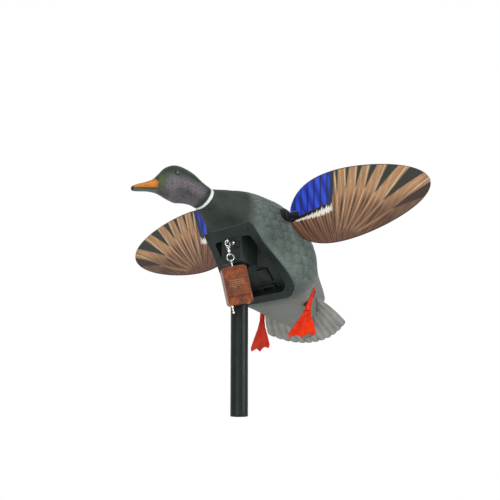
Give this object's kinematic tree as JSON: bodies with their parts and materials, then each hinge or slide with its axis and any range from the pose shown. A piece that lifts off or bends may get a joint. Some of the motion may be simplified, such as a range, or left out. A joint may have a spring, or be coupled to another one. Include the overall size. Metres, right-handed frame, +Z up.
{
  "type": "motion wing decoy",
  "caption": "Spinning-wing mallard drake decoy on a steel pole, with motor-driven printed wings, belly battery tray, dangling legs and a remote on a snap clasp",
  "frame": {"origin": "centre of the pole's lower end", "axes": "+Z up along the pole, the bird heads towards -Y, so its left side is +X"},
  "size_m": [0.6072, 0.3349, 0.351],
  "materials": {
    "steel_painted": "satin, powder coated",
    "black_plastic": "matte",
    "body_plastic": "matte, feather texture",
    "head_plastic": "satin",
    "tail_plastic": "matte",
    "tray_plastic": "satin",
    "wing_sheet": "satin print",
    "leg_plastic": "satin",
    "eye_gloss": "glossy",
    "nickel": "polished",
    "steel": "plain",
    "remote_plastic": "glossy, brown grain",
    "board": "satin",
    "cell_jacket": "satin",
    "switch_rubber": "matte"
  },
  "bodies": {
    "pole": {"pole": "steel_painted"},
    "bird": {"pole_socket": "black_plastic", "body_shell": "body_plastic", "head": "head_plastic", "eye_left": "eye_gloss", "eye_right": "eye_gloss", "tail_fan": "tail_plastic", "leg_left": "leg_plastic", "leg_right": "leg_plastic", "belly_tray": "tray_plastic", "tray_screw_1": "steel", "tray_screw_2": "steel", "tray_screw_3": "steel", "tray_screw_4": "steel", "tray_screw_5": "steel", "tray_screw_6": "steel", "motor_can": "steel", "motor_cradle": "black_plastic", "motor_strap": "steel", "strap_screw_1": "steel", "strap_screw_2": "steel", "axle_bush_left": "black_plastic", "axle_bush_right": "black_plastic", "battery_box": "black_plastic", "contact_strip_front": "steel", "contact_strip_rear": "steel", "cell_1": "cell_jacket", "cell_2": "cell_jacket", "cell_3": "cell_jacket", "cell_4": "cell_jacket", "receiver_board": "board", "door_hinge_pin": "steel", "lanyard_eye": "nickel"},
    "rotor": {"axle_shaft": "steel", "wing_hub_left": "black_plastic", "wing_hub_right": "black_plastic", "hub_magnet_left": "nickel", "hub_magnet_right": "nickel"},
    "wing_l": {"wing_left": "wing_sheet"},
    "wing_r": {"wing_right": "wing_sheet"},
    "door": {"battery_door": "tray_plastic"},
    "latch": {"door_latch": "tray_plastic"},
    "switch": {"power_button": "switch_rubber"},
    "clasp": {"snap_clasp": "nickel"},
    "gate": {"clasp_gate": "nickel"},
    "swivel": {"swivel_eye": "nickel"},
    "ring": {"key_ring": "nickel"},
    "remote": {"remote_lug": "nickel", "remote_back_shell": "remote_plastic", "remote_front_shell": "remote_plastic", "remote_board": "board", "remote_cell": "cell_jacket"},
    "cover": {"remote_cover": "remote_plastic"},
    "button_on": {"remote_button_on": "switch_rubber"},
    "button_off": {"remote_button_off": "switch_rubber"},
    "aerial_tube": {"antenna_tube": "nickel"},
    "aerial_rod": {"antenna_rod": "nickel"}
  },
  "joints": [
    {"name": "bird_turn", "type": "hinge", "parent": "pole", "child": "bird", "pos_m": [0, 0, 0.25], "axis": [0, 0, 1], "continuous": true},
    {"name": "wing_spin", "type": "hinge", "parent": "bird", "child": "rotor", "pos_m": [0, 0.05, 0.295], "axis": [1, 0, 0], "continuous": true},
    {"name": "wing_left_off", "type": "slide", "parent": "rotor", "child": "wing_l", "axis": [1, 0, 0], "range_m": [0, 0.024]},
    {"name": "wing_right_off", "type": "slide", "parent": "rotor", "child": "wing_r", "axis": [-1, 0, 0], "range_m": [0, 0.024]},
    {"name": "battery_door_hinge", "type": "hinge", "parent": "bird", "child": "door", "pos_m": [0, 0.06205, 0.19807], "axis": [1, 0, 0], "range_deg": [0, 88]},
    {"name": "latch_slide", "type": "slide", "parent": "door", "child": "latch", "axis": [0, 0.6756, -0.7373], "range_m": [0, 0.0035], "stiffness_N_per_m": 120, "springref_m": -0.001},
    {"name": "power_button_press", "type": "slide", "parent": "bird", "child": "switch", "axis": [0, 1, 0], "range_m": [0, 0.0015], "stiffness_N_per_m": 300, "springref_m": -0.0005},
    {"name": "lanyard_swing", "type": "hinge", "parent": "bird", "child": "clasp", "pos_m": [0.0076, -0.033, 0.247], "axis": [-0.848, 0.5299, 0], "range_deg": [-4, 42]},
    {"name": "clasp_gate_hinge", "type": "hinge", "parent": "clasp", "child": "gate", "pos_m": [0.00965, -0.02973, 0.24437], "axis": [-0.848, 0.5299, 0], "range_deg": [-18, 0], "stiffness_Nm_per_rad": 0.01, "springref_deg": 11.46},
    {"name": "swivel_turn", "type": "hinge", "parent": "clasp", "child": "swivel", "pos_m": [0.00852, -0.03153, 0.23919], "axis": [-0.1147, -0.1836, 0.9763], "range_deg": [-20, 5]},
    {"name": "ring_swing", "type": "hinge", "parent": "swivel", "child": "ring", "pos_m": [0.00954, -0.0299, 0.2305], "axis": [0.5174, 0.8279, 0.2164], "range_deg": [-35, 0]},
    {"name": "remote_swing", "type": "hinge", "parent": "ring", "child": "remote", "pos_m": [0.01073, -0.02799, 0.22035], "axis": [0.5174, 0.8279, 0.2164], "range_deg": [-35, 0]},
    {"name": "remote_cover_slide", "type": "slide", "parent": "remote", "child": "cover", "axis": [0.1147, 0.1836, -0.9763], "range_m": [0, 0.015]},
    {"name": "remote_on_press", "type": "slide", "parent": "remote", "child": "button_on", "axis": [-0.848, 0.5299, 0], "range_m": [0, 0.0008], "stiffness_N_per_m": 200, "springref_m": -0.0003},
    {"name": "remote_off_press", "type": "slide", "parent": "remote", "child": "button_off", "axis": [-0.848, 0.5299, 0], "range_m": [0, 0.0008], "stiffness_N_per_m": 200, "springref_m": -0.0003},
    {"name": "aerial_tube_slide", "type": "slide", "parent": "remote", "child": "aerial_tube", "axis": [0.1147, 0.1836, -0.9763], "range_m": [0, 0.022]},
    {"name": "aerial_rod_slide", "type": "slide", "parent": "aerial_tube", "child": "aerial_rod", "axis": [0.1147, 0.1836, -0.9763], "range_m": [0, 0.028]}
  ]
}
